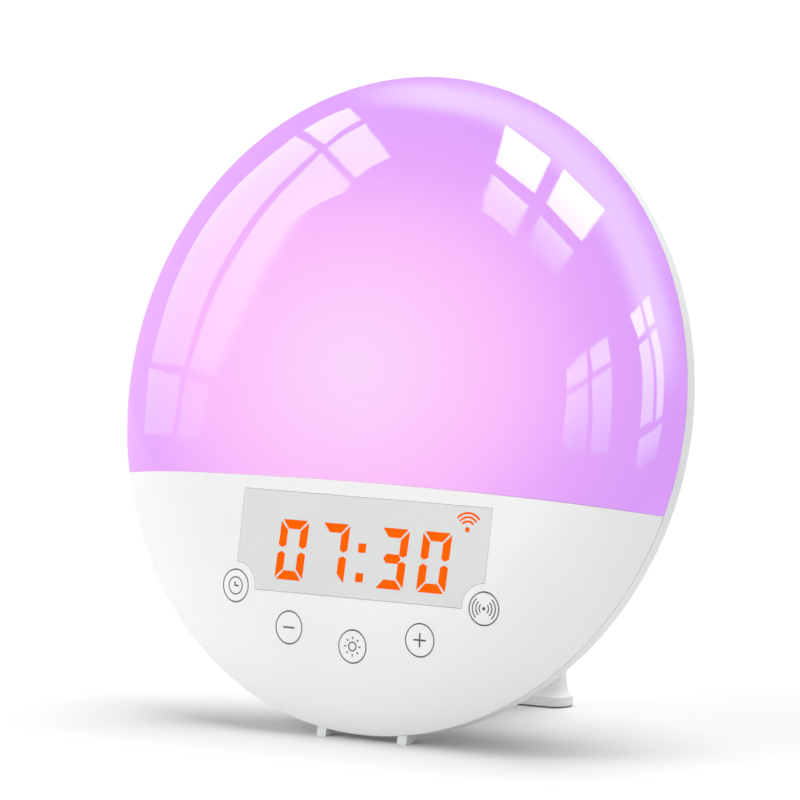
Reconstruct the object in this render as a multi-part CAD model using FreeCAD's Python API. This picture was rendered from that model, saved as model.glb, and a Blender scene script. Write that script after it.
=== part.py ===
# Sunrise alarm clock: a tilted round lamp body on two small front feet and a rear leg.
# Each function makes one piece as its own solid in the body's own frame, and main() places and writes them all.
# In the body frame X is to the right seen from the front, Y runs up the face, Z points out of the face,
# and Z = 0 is the seam between the front shell and the rear cover. Lengths are in millimetres.
import FreeCAD, Part
import math
import os

Vec = FreeCAD.Vector

# Body outline
body_radius = 92.5
tilt_deg = 12.0
rim_to_floor = 0.8
seam_gap = 0.3

# Front shell: a nearly flat crown whose edge turns down in one large arc to the seam
crown_height = 11.1
edge_arc = 60.0
edge_slope_deg = 34.0
front_wall = 2.4

# Split between the lit dome and the white panel, bowed up in the middle
split_below_centre = 25.0
split_bow = 2.0
split_gap = 0.15

# Rear cover: a short band, a tight shoulder, a cone and a flat back
rear_wall = 2.4
rear_depth = 38.0
band_width = 3.4
shoulder_radius = 2.0
cone_deg = 48.0
back_blend = 14.0

# Inner frame that both halves are screwed to
frame_plate = 2.0
frame_collar = 1.6
frame_collar_up = 0.8
frame_ring = 19.9
frame_bar = 6.0
fit_gap = 0.2
partition_wall = 1.6

# Display window and digits
window_half_width = 41.1
window_top_below = 27.3
window_bottom_below = 55.3
window_thickness = 1.2
window_ledge = 1.5
window_fit = 0.1
window_bite_radius = 6.9
digit_height = 16.8
digit_width = 9.3
digit_pitch = 13.8
digit_bar = 2.5
digit_gap = 0.6
digit_slant_deg = 2.0
digits_centre_x = 0.3
digits_centre_below = 43.5
colon_space = 10.4
colon_dot = 2.5
colon_rise = 4.1
colon_lower = 1.9
inlay_depth = 0.6
inlay_fit = 0.05
icon_centre_x = 33.8
icon_base_below = 33.7
icon_dot_radius = 0.7
icon_arc_first = 2.3
icon_arc_pitch = 1.15
icon_arc_width = 0.5
icon_half_angle_deg = 50.0

# Keys on a circle about the body's centre
key_circle = 68.6
key_pitch_deg = 18.5
key_radius = 4.55
key_gap = 0.2
key_flange_radius = 6.0
key_flange = 1.0
key_flange_drop = 0.6
key_travel = 0.6

# Key and display board
board_thickness = 1.6
key_board_half_width = 55.0
key_board_top_below = 27.0
key_board_round_inset = 10.5
switch_side = 6.0
switch_height = 3.6
plunger_radius = 1.7
plunger_gap = 0.2
plunger_reach = 1.3
plunger_in_switch = 0.8
display_half_width = 38.0
display_block_height = 24.0
display_block_gap = 0.5
cavity_depth = 3.0
panel_boss_radius = 2.6
panel_screw_inset = 6.0
panel_screw_length = 4.5

# Light engine
tray_gap = 0.6
tray_floor = 1.6
tray_lip = 3.0
led_board_radius = 40.0
led_board_up = 24.0
led_side = 5.0
led_height = 1.5
led_rings = ((0.0, 1), (16.0, 8), (32.0, 16))

# Main board and its parts
main_board_half_width = 38.0
main_board_low = -14.0
main_board_high = 50.0
main_board_behind = 10.0
main_post_hole = 8.0
# left, right, low and high edges of each package on the main board, and its height
main_board_packages = (
    (-14.0, -4.0, 30.0, 40.0, 1.4),
    (-28.0, -22.0, 22.0, 30.0, 1.6),
    (-32.0, -24.0, -2.0, 4.0, 5.0),
    (24.0, 32.0, -2.0, 4.0, 5.0),
    (-6.0, 10.0, -11.0, -6.0, 4.0),
)
capacitor_radius = 3.0
capacitor_height = 6.0
capacitor_places = ((-30.0, 14.0), (30.0, 14.0))
main_post_radius = 3.0
main_post_inset = 5.0

# Speaker
speaker_up = 16.0
speaker_radius = 18.0
speaker_flange = 1.4
gasket_thickness = 1.0
basket_depth = 8.0
magnet_radius = 9.0
magnet_height = 5.0
speaker_ear_reach = 22.0
speaker_boss_radius = 2.2
speaker_hole = 0.8
grille_rim = 2.5
grille_radius = 19.0
grille_recess = 0.5
grille_thickness = 1.5
grille_hole = 1.2
grille_pitch = 4.4
grille_rings = 3

# Power inlet
jack_x = -32.0
jack_below = 22.0
plug_recess_radius = 5.0
jack_side = 12.0
jack_length = 13.0
jack_bore = 2.9
jack_bore_depth = 9.5
jack_pin = 1.0
jack_pin_root = 1.0
cradle_wall = 1.6
cradle_height = 7.0

# Screws
screw_radius = 1.25
screw_head_radius = 2.4
screw_head = 1.6
screw_hole_gap = 0.25
screw_hole_spare = 0.4
cross_reach = 1.4
cross_width = 0.3
cross_depth = 0.6
cover_screw_inset = 9.9
cover_screw_upper = (20.0, 65.0, 115.0, 160.0)
cover_screw_apart_deg = 7.0
cover_boss_radius = 3.2
cover_boss_length = 7.0
well_radius = 3.0
well_wall = 1.5
cover_screw_floor = 1.6
cover_screw_length = 7.5
boss_root = 0.5
shell_screw_inset = 10.9
shell_screw_upper = (42.0, 90.0, 138.0)
shell_screw_clear = 1.3
shell_boss_radius = 2.4
shell_screw_length = 5.0

# Feet and rear leg
foot_apart = 13.4
foot_width = 3.0
foot_depth = 6.5
foot_rise_deg = 12.0
foot_tab = 1.4
foot_tab_depth = 2.4
foot_tab_inset = 0.4
foot_tab_cover = 0.8
foot_slot_gap = 0.05
foot_drop = 6.0
foot_lap = 0.2
foot_toe = 2.0
leg_pad_half_width = 14.0
leg_pad_top_below = 21.0
leg_pad_bottom_below = 41.0
leg_corner = 5.0
sole_front = 56.5
sole_length = 9.5
sole_half_width = 18.5
sole_thickness = 2.6
sole_corner = 4.2
sole_bow = 0.5
sole_step = 0.5
ankle_half_width = 15.5
ankle_setback = 3.8
ankle_length = 5.4
ankle_height = 9.0
pad_thickness = 1.2
pad_proud = 0.5
pad_inset = 2.0
pad_fit = 0.1
leg_screw_radius = 1.6
leg_screw_apart = 10.0
leg_screw_boss = 2.0
leg_screw_length = 10.0
leg_screw_boss_radius = 4.0

# Worked out from the sizes above
tilt = math.radians(tilt_deg)
centre_height = (
    body_radius * math.cos(tilt) + (band_width + seam_gap) * math.sin(tilt) + rim_to_floor
)
edge_centre_r = body_radius - edge_arc * math.sin(math.radians(edge_slope_deg))
edge_centre_z = -edge_arc * math.cos(math.radians(edge_slope_deg))
crown_rise = crown_height - edge_centre_z
crown_radius = (edge_centre_r**2 + crown_rise**2 - edge_arc**2) / (2 * (crown_rise - edge_arc))
crown_centre = crown_height - crown_radius
crown_lean = math.atan2(edge_centre_r, edge_centre_z - crown_centre)
frame_top = -seam_gap
frame_bottom = frame_top - frame_plate
frame_outer = body_radius - max(front_wall, rear_wall) - fit_gap
frame_inner_radius = frame_outer - frame_ring
inner_back = -(rear_depth - rear_wall)
key_board_round = body_radius - key_board_round_inset
shell_screw_circle = frame_outer - shell_screw_inset
cover_screw_circle = frame_outer - cover_screw_inset
shell_screw_side = key_board_half_width + shell_boss_radius + shell_screw_clear
shell_screw_low = math.degrees(math.asin(shell_screw_side / shell_screw_circle))
shell_screw_angles = shell_screw_upper + (270 - shell_screw_low, 270 + shell_screw_low)
cover_screw_low = shell_screw_low + cover_screw_apart_deg
cover_screw_angles = cover_screw_upper + (270 - cover_screw_low, 270 + cover_screw_low)
tray_radius = shell_screw_circle - shell_boss_radius - tray_gap
board_face_z = -main_board_behind
board_back_z = board_face_z - board_thickness
# how far a cutting tool reaches past the part, and a little past a face
far = 300.0
cut_past = 0.1
speaker_top = inner_back + gasket_thickness + speaker_flange


def polygon_wire(points):
    return Part.makePolygon([Vec(x, y, z) for x, y, z in points] + [Vec(*points[0])])


def prism(points, low, high):
    """A straight solid between two heights over a polygon of (x, y) points."""
    wire = polygon_wire([(x, y, low) for x, y in points])
    return Part.Face(wire).extrude(Vec(0, 0, high - low))


def block(x0, x1, y0, y1, z0, z1):
    return Part.makeBox(x1 - x0, y1 - y0, z1 - z0, Vec(x0, y0, z0))


def rod(radius, x, y, z0, z1):
    return Part.makeCylinder(radius, z1 - z0, Vec(x, y, z0))


def fuse_all(shapes):
    whole = shapes[0]
    if len(shapes) > 1:
        whole = whole.fuse(shapes[1:])
    return whole.removeSplitter()


def on_circle(radius, angle_deg, up=0.0):
    angle = math.radians(angle_deg)
    return radius * math.cos(angle), up + radius * math.sin(angle)


def revolve_profile(edges):
    face = Part.Face(Part.Wire(edges))
    return face.revolve(Vec(0, 0, 0), Vec(0, 0, 1), 360)


def arc_edge(centre_r, centre_z, radius, start_deg, end_deg):
    def at(angle_deg):
        angle = math.radians(angle_deg)
        return Vec(centre_r + radius * math.cos(angle), 0, centre_z + radius * math.sin(angle))

    return Part.Arc(at(start_deg), at((start_deg + end_deg) / 2), at(end_deg)).toShape()


def line_edge(r0, z0, r1, z1):
    return Part.LineSegment(Vec(r0, 0, z0), Vec(r1, 0, z1)).toShape()


def front_height(radius, depth=0.0):
    """Height of the front surface, taken in by depth, at a distance from the axis."""
    arc = edge_arc - depth
    if radius < edge_centre_r + arc * math.sin(crown_lean):
        return crown_centre + math.sqrt((crown_radius - depth) ** 2 - radius**2)
    return edge_centre_z + math.sqrt(arc**2 - (radius - edge_centre_r) ** 2)


def key_bottom():
    """Height of the flange's underside, the same for all keys."""
    lowest = front_height(key_circle + key_flange_radius, front_wall)
    return lowest - key_flange_drop - key_flange


def switch_top():
    return key_bottom() - plunger_reach


def key_board_face():
    return switch_top() - switch_height


def key_board_back():
    return key_board_face() - board_thickness


def display_block_low():
    return (window_top_below + window_bottom_below + display_block_height) / 2


def display_block_face():
    """Height of the block's front, just under the panel where the block reaches furthest out."""
    corner = math.hypot(display_half_width, display_block_low())
    return front_height(corner, front_wall) - display_block_gap


def front_radius(height, depth=0.0):
    """Distance of the front surface's edge, taken in by depth, from the axis at a height."""
    return edge_centre_r + math.sqrt((edge_arc - depth) ** 2 - (height - edge_centre_z) ** 2)


def front_form(depth, base=0.0):
    """The front shell's outer form, taken in by depth all over, filled down to base."""
    edge = front_radius(0, depth)
    arc = edge_arc - depth
    start_deg = math.degrees(math.atan2(-edge_centre_z, edge - edge_centre_r))
    join_deg = 90 - math.degrees(crown_lean)
    edges = [
        arc_edge(edge_centre_r, edge_centre_z, arc, start_deg, join_deg),
        arc_edge(0, crown_centre, crown_radius - depth, join_deg, 90),
        line_edge(0, crown_height - depth, 0, base),
        line_edge(0, base, edge, base),
    ]
    if base < 0:
        edges.append(line_edge(edge, base, edge, 0))
    return revolve_profile(edges)


def rear_form(depth):
    """The rear cover's outer form, taken in by depth all over, filled up to the seam."""
    cone = math.radians(cone_deg)
    sine, cosine = math.sin(cone), math.cos(cone)
    outer, blend = shoulder_radius, back_blend
    start = seam_gap + band_width
    slope = (rear_depth - blend + blend * sine - start - outer * sine) / cosine
    blend_r = body_radius - outer + outer * cosine - slope * sine - blend * cosine
    blend_z = -(rear_depth - blend)
    shift = depth if depth < shoulder_radius else shoulder_radius
    past = depth - shift
    shoulder_r = body_radius - outer + (outer - shift) * cosine - past * cosine
    shoulder_z = -start - (outer - shift) * sine + past * sine
    edges = [line_edge(0, -seam_gap, body_radius - depth, -seam_gap)]
    if past > 0:
        corner_z = shoulder_z - (body_radius - depth - shoulder_r) * -cosine / sine
        edges.append(line_edge(body_radius - depth, -seam_gap, body_radius - depth, corner_z))
        shoulder_r, shoulder_z = body_radius - depth, corner_z
    else:
        edges.append(line_edge(body_radius - depth, -seam_gap, body_radius - depth, -start))
        if outer - shift > 0:
            edges.append(arc_edge(body_radius - outer, -start, outer - shift, 0, -cone_deg))
    blend_start_r = blend_r + (blend - depth) * cosine
    blend_start_z = blend_z - (blend - depth) * sine
    edges.append(line_edge(shoulder_r, shoulder_z, blend_start_r, blend_start_z))
    edges.append(arc_edge(blend_r, blend_z, blend - depth, -cone_deg, -90))
    edges.append(line_edge(blend_r, -(rear_depth - depth), 0, -(rear_depth - depth)))
    edges.append(line_edge(0, -(rear_depth - depth), 0, -seam_gap))
    return revolve_profile(edges)


def split_tool(offset, low=-20.0, high=30.0):
    """Everything above the bowed split line, moved up by offset."""
    half = math.sqrt(body_radius**2 - split_below_centre**2)
    reach = body_radius + 10
    end_y = -split_below_centre + offset
    mid_y = end_y + split_bow
    radius = (half**2 + split_bow**2) / (2 * split_bow)
    drop = radius - math.sqrt(radius**2 - reach**2)
    left = Vec(-reach, mid_y - drop, low)
    right = Vec(reach, mid_y - drop, low)
    bow = Part.Arc(left, Vec(0, mid_y, low), right).toShape()
    up_right = Part.LineSegment(right, Vec(reach, reach, low)).toShape()
    over = Part.LineSegment(Vec(reach, reach, low), Vec(-reach, reach, low)).toShape()
    down_left = Part.LineSegment(Vec(-reach, reach, low), left).toShape()
    face = Part.Face(Part.Wire([bow, up_right, over, down_left]))
    return face.extrude(Vec(0, 0, high - low))


def key_places():
    """(name, x, y) of the five keys, from left to right."""
    names = ("clock", "minus", "light", "plus", "sound")
    places = []
    for index, name in enumerate(names):
        x, y = on_circle(key_circle, -90 + (index - 2) * key_pitch_deg)
        places.append((name, x, y))
    return places


def shell_boss(angle_deg):
    """A screw boss that hangs from the front shell's inside down to the inner frame."""
    x, y = on_circle(shell_screw_circle, angle_deg)
    boss = rod(shell_boss_radius, x, y, frame_top + fit_gap, crown_height)
    boss = boss.common(front_form(front_wall / 2, base=-5))
    pilot = screw_radius - screw_hole_gap
    return boss.cut(rod(pilot, x, y, frame_top, frame_bottom + shell_screw_length + 0.4))


def in_upper_half(angle_deg):
    return math.sin(math.radians(angle_deg)) > 0


def front_shell():
    return front_form(0).cut(front_form(front_wall, base=-1))


def dome_diffuser():
    dome = front_shell().common(split_tool(split_gap / 2))
    bosses = [shell_boss(a) for a in shell_screw_angles if in_upper_half(a)]
    return fuse_all([dome] + bosses)


def window_outline(grow, low, high):
    """The window's outline with its two bites round the outer keys, grown by an amount."""
    plate = block(
        -window_half_width - grow,
        window_half_width + grow,
        -window_bottom_below - grow,
        -window_top_below + grow,
        low,
        high,
    )
    for name, x, y in key_places():
        if name in ("clock", "sound"):
            plate = plate.cut(rod(window_bite_radius - grow, x, y, low - 1, high + 1))
    return plate


def panel_screw_places():
    """The key board's four screws: two beside the window and two below the keys."""
    x = key_board_half_width - panel_screw_inset
    low_x, low_y = on_circle(key_board_round - panel_screw_inset + 1.0, -65.0)
    high_y = -key_board_top_below - panel_screw_inset
    return ((-x, high_y), (x, high_y), (-low_x, low_y), (low_x, low_y))


def front_panel():
    panel = front_shell().cut(split_tool(-split_gap / 2))
    pocket = window_outline(window_fit, -5, 30).cut(front_form(window_thickness, base=-10))
    through = window_outline(-window_ledge, -5, 30)
    panel = panel.cut(pocket).cut(through)
    for _, x, y in key_places():
        panel = panel.cut(rod(key_radius + key_gap, x, y, -5, 30))
    added = [shell_boss(a) for a in shell_screw_angles if not in_upper_half(a)]
    inside = front_form(front_wall / 2, base=-5)
    for x, y in panel_screw_places():
        post = rod(panel_boss_radius, x, y, key_board_face(), crown_height).common(inside)
        hole_end = key_board_back() + panel_screw_length + screw_hole_spare
        added.append(post.cut(rod(screw_radius - screw_hole_gap, x, y, key_board_back(), hole_end)))
    return fuse_all([panel] + added)


def segment_polygon(name, left, bottom):
    """Corner points of one bar of a seven-bar digit, before the slant."""
    w, h, b, g = digit_width, digit_height, digit_bar, digit_gap
    mid = h / 2
    tip = b / 2
    shapes = {
        "top": ((g, h), (w - g, h), (w - b - g / 2, h - b), (b + g / 2, h - b)),
        "bottom": ((g, 0), (w - g, 0), (w - b - g / 2, b), (b + g / 2, b)),
        "middle": (
            (b / 2 + g, mid),
            (b + g / 2, mid + tip),
            (w - b - g / 2, mid + tip),
            (w - b / 2 - g, mid),
            (w - b - g / 2, mid - tip),
            (b + g / 2, mid - tip),
        ),
        "upper_left": ((0, h - g), (b, h - b - g), (b, mid + tip), (b / 2, mid + g), (0, mid + tip)),
        "lower_left": ((0, g), (b, b + g), (b, mid - tip), (b / 2, mid - g), (0, mid - tip)),
    }
    if name == "upper_right":
        points = [(w - x, y) for x, y in shapes["upper_left"]]
    elif name == "lower_right":
        points = [(w - x, y) for x, y in shapes["lower_left"]]
    else:
        points = shapes[name]
    lean = math.tan(math.radians(digit_slant_deg))
    return [(left + x + y * lean, bottom + y) for x, y in points]


digit_bars = {
    "0": ("top", "bottom", "upper_left", "upper_right", "lower_left", "lower_right"),
    "7": ("top", "upper_right", "lower_right"),
    "3": ("top", "middle", "bottom", "upper_right", "lower_right"),
    "8": ("top", "middle", "bottom", "upper_left", "upper_right", "lower_left", "lower_right"),
}


def digit_lefts():
    """Left edges of the four digits: two each side of the colon."""
    half = digit_pitch + digit_width / 2 + colon_space / 2 + digit_width / 2
    first = digits_centre_x - half
    second = first + digit_pitch
    third = digits_centre_x + half - digit_pitch - digit_width
    return (first, second, third, third + digit_pitch)


def digit_polygons(text):
    """Bars of a four-digit reading, and the two dots of its colon."""
    bottom = -digits_centre_below - digit_height / 2
    polygons = []
    for left, digit in zip(digit_lefts(), text):
        for name in digit_bars[digit]:
            polygons.append(segment_polygon(name, left, bottom))
    half = colon_dot / 2
    for rise in (-colon_rise, colon_rise):
        x, y = digits_centre_x, -digits_centre_below - colon_lower + rise
        corners = ((-half, -half), (half, -half), (half, half), (-half, half))
        polygons.append([(x + dx, y + dy) for dx, dy in corners])
    return polygons


def wave_arc(x, y, radius, width, centre_deg, half_deg, low, high):
    """A short arc-shaped bar, as in a radio wave sign."""
    inner, outer = radius - width / 2, radius + width / 2
    start, end = math.radians(centre_deg - half_deg), math.radians(centre_deg + half_deg)
    middle = math.radians(centre_deg)

    def at(r, angle):
        return Vec(x + r * math.cos(angle), y + r * math.sin(angle), low)

    edges = [
        Part.Arc(at(outer, start), at(outer, middle), at(outer, end)).toShape(),
        Part.LineSegment(at(outer, end), at(inner, end)).toShape(),
        Part.Arc(at(inner, end), at(inner, middle), at(inner, start)).toShape(),
        Part.LineSegment(at(inner, start), at(outer, start)).toShape(),
    ]
    return Part.Face(Part.Wire(edges)).extrude(Vec(0, 0, high - low))


def icon_prisms(low, high, grow=0.0):
    y = -icon_base_below
    solids = [rod(icon_dot_radius + grow, icon_centre_x, y, low, high)]
    for index in range(3):
        radius = icon_arc_first + index * icon_arc_pitch
        spread = icon_half_angle_deg + math.degrees(grow / radius)
        solids.append(
            wave_arc(icon_centre_x, y, radius, icon_arc_width + 2 * grow, 90, spread, low, high)
        )
    return solids


def grown(points, amount):
    """A polygon scaled about its centre so that its bounding box grows by about the amount."""
    cx = sum(p[0] for p in points) / len(points)
    cy = sum(p[1] for p in points) / len(points)
    reach = max(max(abs(p[0] - cx), abs(p[1] - cy)) for p in points)
    scale = 1 + amount / min(reach, digit_bar / 2)
    return [(cx + (x - cx) * scale, cy + (y - cy) * scale) for x, y in points]


def display_window():
    window = window_outline(0, -5, 30).common(front_form(0)).cut(front_form(window_thickness, base=-10))
    deep = front_form(inlay_depth + inlay_fit, base=-10)
    cutters = [prism(grown(p, inlay_fit), -5, 30) for p in digit_polygons("0730")]
    cutters += icon_prisms(-5, 30, inlay_fit)
    pockets = Part.makeCompound([c.cut(deep) for c in cutters])
    return window.cut(pockets)


def digit_inlays():
    layer = front_form(0).cut(front_form(inlay_depth, base=-10))
    bars = [prism(p, -5, 30).common(layer) for p in digit_polygons("0730")]
    return Part.makeCompound([s for bar in bars for s in bar.Solids])


def signal_icon():
    layer = front_form(0).cut(front_form(inlay_depth, base=-10))
    arcs = [c.common(layer) for c in icon_prisms(-5, 30)]
    return Part.makeCompound([s for arc in arcs for s in arc.Solids])


def display_block():
    """The numeric display's reflector block, with a light well behind every bar."""
    body = block(
        -display_half_width,
        display_half_width,
        -display_block_low(),
        display_block_height - display_block_low(),
        key_board_face(),
        display_block_face(),
    )
    for _, x, y in key_places():
        body = body.cut(rod(window_bite_radius, x, y, key_board_face() - 1, display_block_face() + 1))
    wells = [
        prism(p, display_block_face() - cavity_depth, display_block_face() + 1)
        for p in digit_polygons("8888")
    ]
    icon_well = rod(
        icon_arc_first, icon_centre_x, -icon_base_below, display_block_face() - cavity_depth, 20
    )
    return body.cut(Part.makeCompound(wells + [icon_well]))


def key_cap(x, y):
    low = key_bottom()
    cap = rod(key_radius, x, y, low, 30).common(front_form(0, base=-5))
    return fuse_all([cap, rod(key_flange_radius, x, y, low, low + key_flange)])


def switch_plunger(x, y):
    return rod(plunger_radius, x, y, switch_top() - plunger_in_switch, key_bottom())


def key_switches():
    bodies = []
    for _, x, y in key_places():
        half = switch_side / 2
        body = block(x - half, x + half, y - half, y + half, key_board_face(), switch_top())
        well = rod(
            plunger_radius + plunger_gap,
            x,
            y,
            switch_top() - plunger_in_switch - key_travel - plunger_gap,
            switch_top() + 1,
        )
        bodies.append(body.cut(well))
    return Part.makeCompound(bodies)


def key_board():
    board = block(
        -key_board_half_width,
        key_board_half_width,
        -key_board_round,
        -key_board_top_below,
        key_board_back(),
        key_board_face(),
    )
    board = board.common(rod(key_board_round, 0, 0, key_board_back(), key_board_face()))
    for x, y in panel_screw_places():
        board = board.cut(rod(screw_radius + screw_hole_gap, x, y, -5, 5))
    return board


def pan_screw(x, y, seat, length, shank=screw_radius - screw_hole_gap - 0.05):
    """A cross-head screw along Z: its head bears on the plane z = seat, and its shank goes up from it."""
    top = seat - screw_head
    screw = fuse_all([rod(screw_head_radius, x, y, top, seat), rod(shank, x, y, seat, seat + length)])
    for long, short in ((cross_reach, cross_width), (cross_width, cross_reach)):
        screw = screw.cut(block(x - long, x + long, y - short, y + short, top, top + cross_depth))
    return screw


def key_board_screws():
    screws = [pan_screw(x, y, key_board_back(), panel_screw_length) for x, y in panel_screw_places()]
    return Part.makeCompound(screws)


def board_window(low, high):
    """The part of the frame's ring that is cut away round the key board."""
    half = key_board_half_width + fit_gap * 2
    window = block(-half, half, -body_radius, -key_board_top_below + fit_gap, low, high)
    return window.common(rod(key_board_round + fit_gap * 2, 0, 0, low, high))


def partition_low():
    """Lowest point up the face of the wall between the lit space and the display."""
    return -split_below_centre + split_bow + split_gap


def inner_frame():
    """The ring that carries the front shell, the light tray and the rear cover's screws."""
    plate = rod(frame_outer, 0, 0, frame_bottom, frame_top)
    plate = plate.cut(rod(frame_inner_radius, 0, 0, frame_bottom - 1, frame_top + 1))
    plate = plate.cut(board_window(frame_bottom - 1, frame_top + 1))
    collar_top = frame_top + frame_collar_up
    collar_outer = front_radius(collar_top, front_wall) - fit_gap
    collar = rod(collar_outer, 0, 0, frame_bottom, collar_top)
    collar = collar.cut(rod(collar_outer - frame_collar, 0, 0, frame_bottom - 1, collar_top + 1))
    low = partition_low()
    bar_half = math.sqrt(frame_inner_radius**2 - low**2) + 1
    bar = block(-bar_half, bar_half, low, low + frame_bar, frame_bottom, frame_top)
    reach = math.sqrt(collar_outer**2 - (low + partition_wall) ** 2)
    partition = block(-reach, reach, low, low + partition_wall, frame_top - 0.5, crown_height)
    partition = partition.common(front_form(front_wall + fit_gap, base=-5))
    bosses = []
    for angle in cover_screw_angles:
        x, y = on_circle(cover_screw_circle, angle)
        bosses.append(rod(cover_boss_radius, x, y, frame_bottom - cover_boss_length, frame_top))
    frame = fuse_all([plate, collar, bar, partition] + bosses)
    for angle in shell_screw_angles:
        x, y = on_circle(shell_screw_circle, angle)
        frame = frame.cut(rod(screw_radius + screw_hole_gap, x, y, frame_bottom - 1, frame_top + 1))
        frame = frame.cut(rod(shell_boss_radius + fit_gap, x, y, frame_top, crown_height))
    for angle in cover_screw_angles:
        x, y = on_circle(cover_screw_circle, angle)
        frame = frame.cut(rod(screw_radius - screw_hole_gap, x, y, -rear_depth, frame_top - 1))
    return frame


def shell_screws():
    screws = []
    for angle in shell_screw_angles:
        x, y = on_circle(shell_screw_circle, angle)
        screws.append(pan_screw(x, y, frame_bottom, shell_screw_length))
    return Part.makeCompound(screws)


def light_tray():
    """A white tray that rests on the frame's face above the partition and carries the lamp board."""
    low = partition_low() + partition_wall + fit_gap
    top = frame_top + tray_floor + tray_lip
    outside = block(-body_radius, body_radius, -body_radius, low, -1, top + 1)
    outer = rod(tray_radius, 0, 0, frame_top, top).cut(outside)
    inside = block(-body_radius, body_radius, -body_radius, low + tray_floor, -1, top + 1)
    inner = rod(tray_radius - tray_floor, 0, 0, frame_top + tray_floor, top + 1).cut(inside)
    return outer.cut(inner)


def lamp_board_face():
    return frame_top + tray_floor + board_thickness


def lamp_board():
    board = rod(led_board_radius, 0, led_board_up, lamp_board_face() - board_thickness, lamp_board_face())
    return board


def lamp_leds():
    chips = []
    half = led_side / 2
    low = lamp_board_face()
    for radius, count in led_rings:
        for index in range(count):
            angle = index * 360.0 / count
            x, y = on_circle(radius, angle, led_board_up)
            chips.append(block(x - half, x + half, y - half, y + half, low, low + led_height))
    return Part.makeCompound(chips)


def main_post_places():
    x = main_board_half_width - main_post_inset
    return (
        (-x, main_board_low + main_post_inset),
        (x, main_board_low + main_post_inset),
        (-x, main_board_high - main_post_inset),
        (x, main_board_high - main_post_inset),
    )


def speaker_screw_places():
    return ((-speaker_ear_reach, speaker_up), (speaker_ear_reach, speaker_up))


def leg_screw_places():
    middle = -(leg_pad_top_below + leg_pad_bottom_below) / 2
    return ((0, middle + leg_screw_apart / 2), (0, middle - leg_screw_apart / 2))


def foot_places():
    return (("left", -foot_apart), ("right", foot_apart))


def foot_slot(x, grow):
    """The slot in the rear cover's band that a front foot's tab pushes into."""
    half = foot_width / 2 - foot_tab_inset + grow
    low = -math.sqrt(body_radius**2 - x**2)
    back = -seam_gap - foot_tab_depth - grow
    front = -seam_gap - foot_tab_cover + grow
    return block(x - half, x + half, low - 2, low + foot_tab + grow, back, front)


def rear_cover():
    cover = rear_form(0).cut(rear_form(rear_wall))
    inside = rear_form(rear_wall / 2)
    added = []
    for angle in cover_screw_angles:
        x, y = on_circle(cover_screw_circle, angle)
        well = rod(well_radius + well_wall, x, y, -far, frame_bottom - cover_boss_length - fit_gap)
        added.append(well.common(inside))
    for x, y in main_post_places():
        added.append(rod(main_post_radius, x, y, -far, board_back_z).common(inside))
    for x, y in speaker_screw_places():
        added.append(rod(speaker_boss_radius, x, y, inner_back - boss_root, inner_back + gasket_thickness))
    for x, y in leg_screw_places():
        added.append(rod(leg_screw_boss_radius, x, y, inner_back - boss_root, inner_back + leg_screw_boss))
    half = jack_side / 2 + fit_gap
    cradle = block(
        jack_x - half - cradle_wall,
        jack_x + half + cradle_wall,
        -jack_below - half - cradle_wall,
        -jack_below + half + cradle_wall,
        inner_back - boss_root,
        inner_back + cradle_height,
    )
    cradle = cradle.cut(
        block(jack_x - half, jack_x + half, -jack_below - half, -jack_below + half, inner_back, 0)
    )
    added.append(cradle)
    cover = fuse_all([cover] + added)
    for angle in cover_screw_angles:
        x, y = on_circle(cover_screw_circle, angle)
        seat = frame_bottom - cover_boss_length - fit_gap - cover_screw_floor
        cover = cover.cut(rod(well_radius, x, y, -far, seat))
        cover = cover.cut(rod(screw_radius + screw_hole_gap, x, y, -far, 0))
    for x, y in main_post_places():
        cover = cover.cut(rod(screw_radius - screw_hole_gap, x, y, board_back_z - main_post_hole, 0))
    for x, y in speaker_screw_places():
        cover = cover.cut(rod(screw_radius - screw_hole_gap, x, y, inner_back - speaker_hole, 0))
    for x, y in leg_screw_places():
        cover = cover.cut(rod(leg_screw_radius + screw_hole_gap, x, y, -far, 0))
    cover = cover.cut(rod(plug_recess_radius, jack_x, -jack_below, -far, inner_back + cut_past))
    grille_seat = -rear_depth + grille_recess + grille_thickness
    cover = cover.cut(rod(grille_radius + fit_gap, 0, speaker_up, -far, grille_seat))
    cover = cover.cut(rod(grille_radius - grille_rim, 0, speaker_up, -far, inner_back + cut_past))
    for _, x in foot_places():
        cover = cover.cut(foot_slot(x, foot_slot_gap))
    return cover


def cover_screws():
    screws = []
    for angle in cover_screw_angles:
        x, y = on_circle(cover_screw_circle, angle)
        screws.append(pan_screw(x, y, frame_bottom - cover_boss_length - fit_gap - cover_screw_floor, cover_screw_length))
    return Part.makeCompound(screws)


def speaker_grille():
    """A round perforated insert, with its holes on rings."""
    low = -rear_depth + grille_recess
    plate = rod(grille_radius, 0, speaker_up, low, low + grille_thickness)
    holes = [rod(grille_hole, 0, speaker_up, low - 1, low + grille_thickness + 1)]
    for ring in range(1, grille_rings + 1):
        count = 6 * ring
        for index in range(count):
            x, y = on_circle(ring * grille_pitch, index * 360.0 / count, speaker_up)
            holes.append(rod(grille_hole, x, y, low - 1, low + grille_thickness + 1))
    return plate.cut(Part.makeCompound(holes))


def lathe(points, x, y):
    """A solid turned about a line parallel to Z from (radius, height) points."""
    face = Part.Face(polygon_wire([(r, 0, z) for r, z in points]))
    solid = face.revolve(Vec(0, 0, 0), Vec(0, 0, 1), 360)
    solid.translate(Vec(x, y, 0))
    return solid


def speaker_gasket():
    ring = rod(speaker_radius, 0, speaker_up, inner_back, inner_back + gasket_thickness)
    return ring.cut(rod(speaker_radius - 2.0, 0, speaker_up, -60, 0))


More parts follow.
